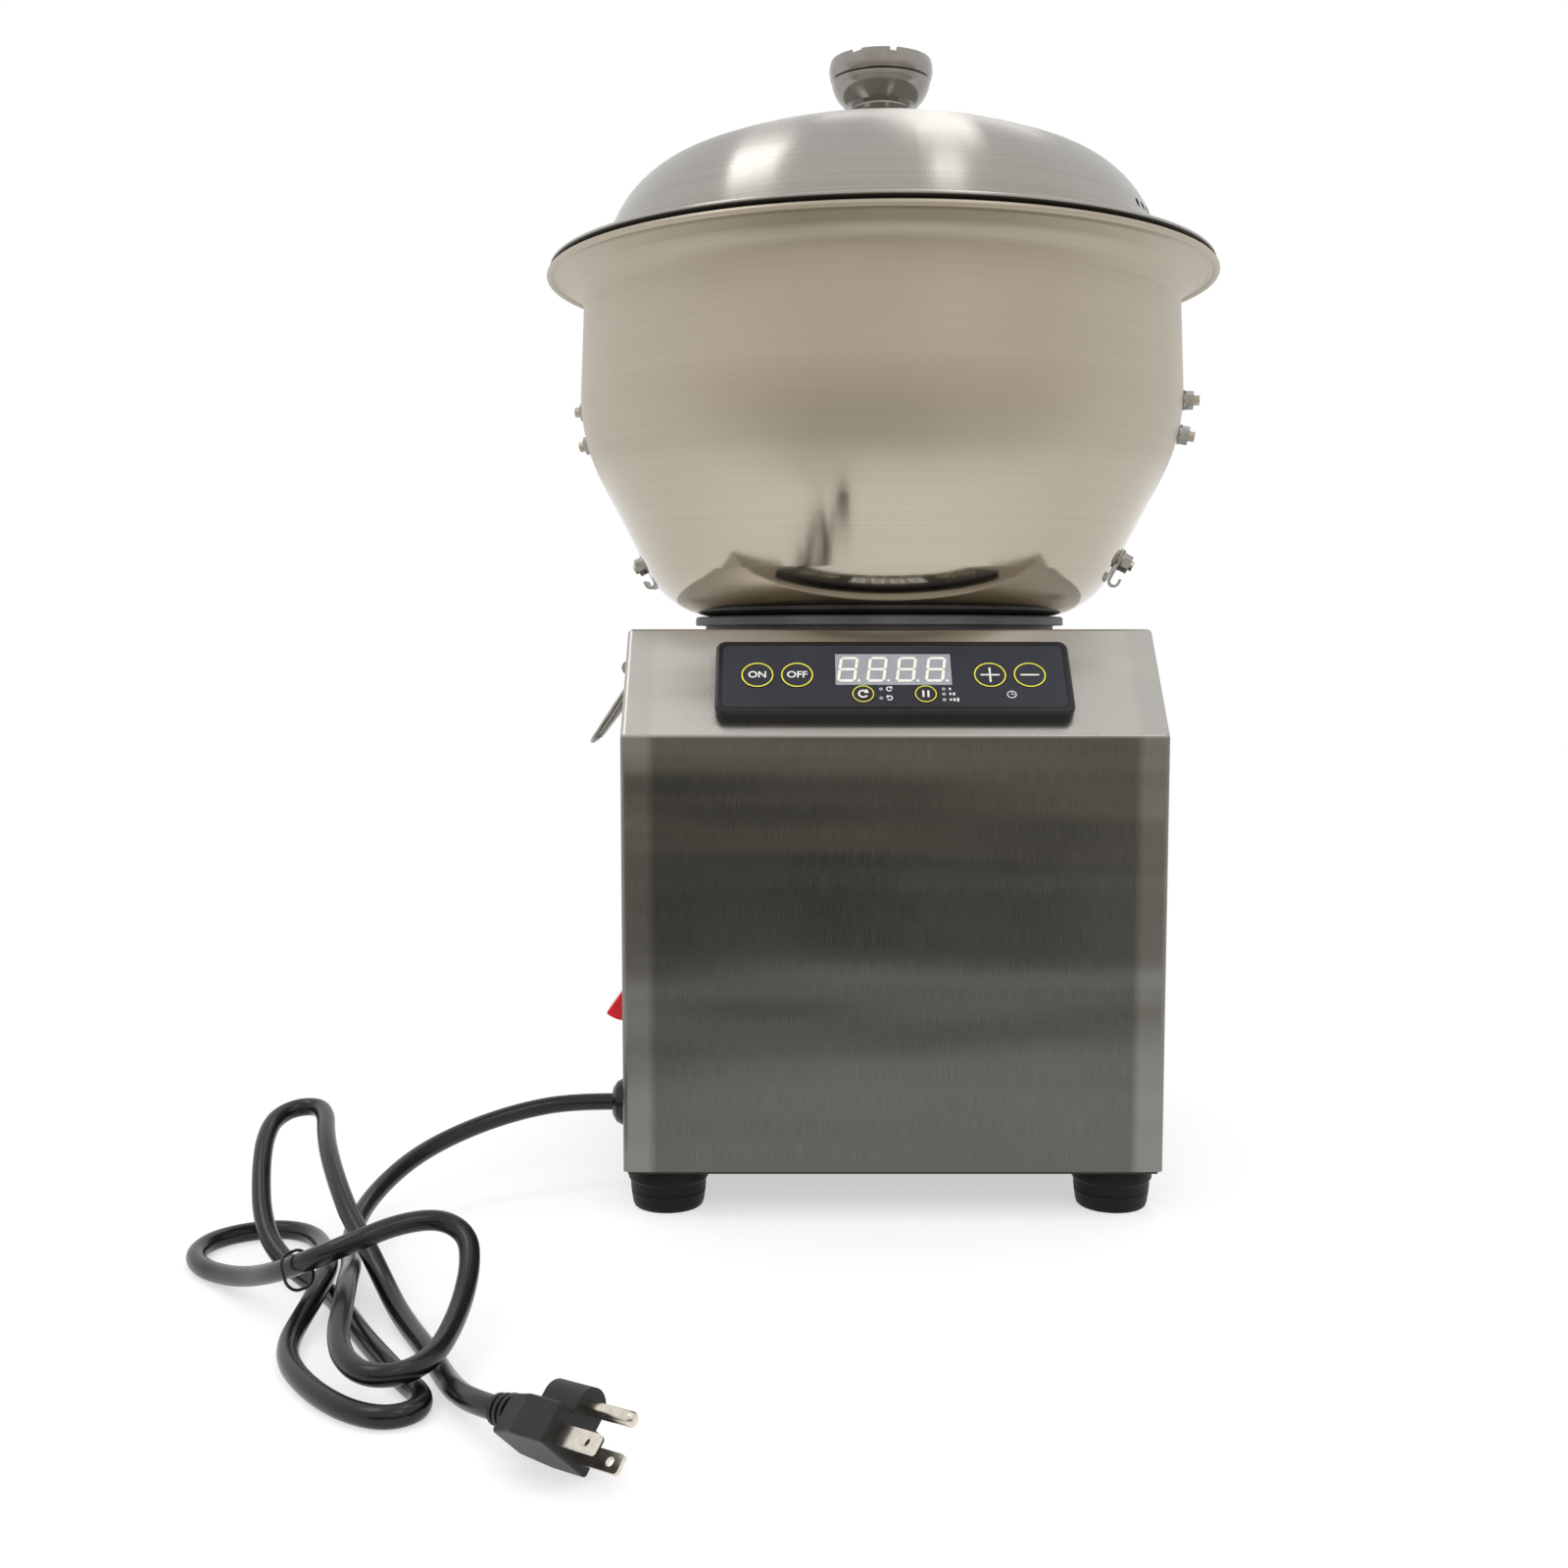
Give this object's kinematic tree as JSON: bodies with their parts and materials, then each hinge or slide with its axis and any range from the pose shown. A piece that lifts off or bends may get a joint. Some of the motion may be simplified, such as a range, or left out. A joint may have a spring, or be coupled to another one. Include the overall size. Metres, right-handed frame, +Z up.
{
  "type": "dough kneader",
  "caption": "Bench-top electric dough kneader: folded steel base with a sloped key panel, lift-off spun bowl with a kneading arm, domed lid with a knob, side latches and a mains cord.",
  "frame": {"origin": "on the floor under the bowl's axis, the centre of the bounding box's bottom without the cord", "axes": "+Z up along the bowl's axis, -Y to the front with the key panel, -X to the side with the rocker switch and the cord"},
  "size_m": [0.4631, 0.5671, 0.5457],
  "materials": {
    "steel_satin": "satin, fine grain",
    "steel_polished": "polished",
    "steel_bright": "bright zinc",
    "rubber_black": "moulded, matt",
    "seat_plastic": "dark grey, matt",
    "bezel_plastic": "black, satin",
    "panel_film": "dark slate print",
    "key_plastic": "dark slate with a yellow ring",
    "display_grey": "grey filter",
    "segment_cream": "unlit digits",
    "lamp_clear": "clear lens",
    "rocker_red": "red, gloss",
    "switch_black": "black",
    "cord_black": "black PVC, satin",
    "plug_metal": "nickel plate",
    "board_green": "circuit board",
    "cast_grey": "cast",
    "iron_dark": "dark",
    "belt_black": "moulded"
  },
  "bodies": {
    "base": {"housing_shell": "steel_satin", "bottom_plate": "steel_bright", "bottom_plate_screws": "steel_bright", "rubber_feet": "rubber_black", "foot_fasteners": "steel_bright", "bowl_seat": "seat_plastic", "heater_plate": "cast_grey", "seat_fasteners": "steel_bright", "panel_bezel": "bezel_plastic", "panel_overlay": "panel_film", "control_board": "board_green", "display_module": "display_grey", "display_segments": "segment_cream", "indicator_lamps": "lamp_clear", "switch_frame": "switch_black", "cord_gland": "switch_black", "gland_nut": "switch_black", "cord_lead": "cord_black", "cord_loops": "cord_black", "cord_tail": "cord_black", "cord_tie": "cord_black", "plug_body": "cord_black", "plug_pins": "plug_metal", "latch_plates": "steel_bright", "latch_rivets": "steel_bright", "drive_deck": "steel_bright", "deck_posts": "steel_bright", "deck_screws": "steel_bright", "spindle_cartridge": "cast_grey", "spindle_bearings": "steel_bright", "motor_can": "iron_dark", "drive_belt": "belt_black", "power_board": "board_green"},
    "rotor": {"motor_rotor": "steel_bright", "motor_pulley": "iron_dark"},
    "spindle": {"spindle": "steel_bright", "spindle_pulley": "cast_grey"},
    "rocker": {"switch_rocker": "rocker_red"},
    "key_on": {"key_on": "key_plastic"},
    "key_off": {"key_off": "key_plastic"},
    "key_plus": {"key_plus": "key_plastic"},
    "key_minus": {"key_minus": "key_plastic"},
    "key_mode": {"key_mode": "key_plastic"},
    "key_rest": {"key_rest": "key_plastic"},
    "lever_left": {"latch_lever_left": "steel_bright"},
    "lever_right": {"latch_lever_right": "steel_bright"},
    "bail_left": {"latch_bail_left": "steel_bright"},
    "bail_right": {"latch_bail_right": "steel_bright"},
    "bowl": {"bowl_shell": "steel_satin", "dough_stops": "steel_satin", "bowl_nuts": "steel_bright", "bowl_hooks": "steel_bright", "bowl_hub": "steel_satin"},
    "agitator": {"agitator_shaft": "steel_satin", "kneading_arm": "steel_satin", "arm_cap_nut": "steel_satin"},
    "lid": {"lid_shell": "steel_polished", "lid_knob": "steel_polished", "knob_cap": "steel_polished", "knob_screw": "steel_bright"}
  },
  "joints": [
    {"name": "bowl_lift", "type": "slide", "parent": "base", "child": "bowl", "axis": [0, 0, 1], "range_m": [0, 0.12]},
    {"name": "lid_lift", "type": "slide", "parent": "bowl", "child": "lid", "axis": [0, 0, 1], "range_m": [0, 0.15]},
    {"name": "spindle_spin", "type": "hinge", "parent": "base", "child": "spindle", "pos_m": [0, 0, 0.2], "axis": [0, 0, 1], "continuous": true},
    {"name": "motor_spin", "type": "hinge", "parent": "base", "child": "rotor", "pos_m": [0.0755, 0, 0.12], "axis": [0, 0, 1], "continuous": true},
    {"name": "agitator_spin", "type": "hinge", "parent": "bowl", "child": "agitator", "pos_m": [0, 0, 0.295], "axis": [0, 0, 1], "continuous": true},
    {"name": "rocker_tilt", "type": "hinge", "parent": "base", "child": "rocker", "pos_m": [-0.1212, -0.099, 0.0962], "axis": [0, -1, 0], "range_deg": [0, 36]},
    {"name": "key_on_press", "type": "slide", "parent": "base", "child": "key_on", "axis": [0, 0.7342, -0.6789], "range_m": [0, 0.0006], "stiffness_N_per_m": 500},
    {"name": "key_off_press", "type": "slide", "parent": "base", "child": "key_off", "axis": [0, 0.7342, -0.6789], "range_m": [0, 0.0006], "stiffness_N_per_m": 500},
    {"name": "key_plus_press", "type": "slide", "parent": "base", "child": "key_plus", "axis": [0, 0.7342, -0.6789], "range_m": [0, 0.0006], "stiffness_N_per_m": 500},
    {"name": "key_minus_press", "type": "slide", "parent": "base", "child": "key_minus", "axis": [0, 0.7342, -0.6789], "range_m": [0, 0.0006], "stiffness_N_per_m": 500},
    {"name": "key_mode_press", "type": "slide", "parent": "base", "child": "key_mode", "axis": [0, 0.7342, -0.6789], "range_m": [0, 0.0006], "stiffness_N_per_m": 500},
    {"name": "key_rest_press", "type": "slide", "parent": "base", "child": "key_rest", "axis": [0, 0.7342, -0.6789], "range_m": [0, 0.0006], "stiffness_N_per_m": 500},
    {"name": "lever_left_swing", "type": "hinge", "parent": "base", "child": "lever_left", "pos_m": [-0.1275, 0, 0.2432], "axis": [0, 1, 0], "range_deg": [0, 100]},
    {"name": "bail_left_swing", "type": "hinge", "parent": "lever_left", "child": "bail_left", "pos_m": [-0.1275, 0, 0.2342], "axis": [0, -1, 0], "range_deg": [-145, 0]},
    {"name": "lever_right_swing", "type": "hinge", "parent": "base", "child": "lever_right", "pos_m": [0.1275, 0, 0.2432], "axis": [0, -1, 0], "range_deg": [0, 100]},
    {"name": "bail_right_swing", "type": "hinge", "parent": "lever_right", "child": "bail_right", "pos_m": [0.1275, 0, 0.2342], "axis": [0, 1, 0], "range_deg": [-145, 0]}
  ],
  "couplings": [
    {"joint": "motor_spin", "follows": "spindle_spin", "ratio": 3.7259},
    {"joint": "agitator_spin", "follows": "spindle_spin", "ratio": 1}
  ]
}
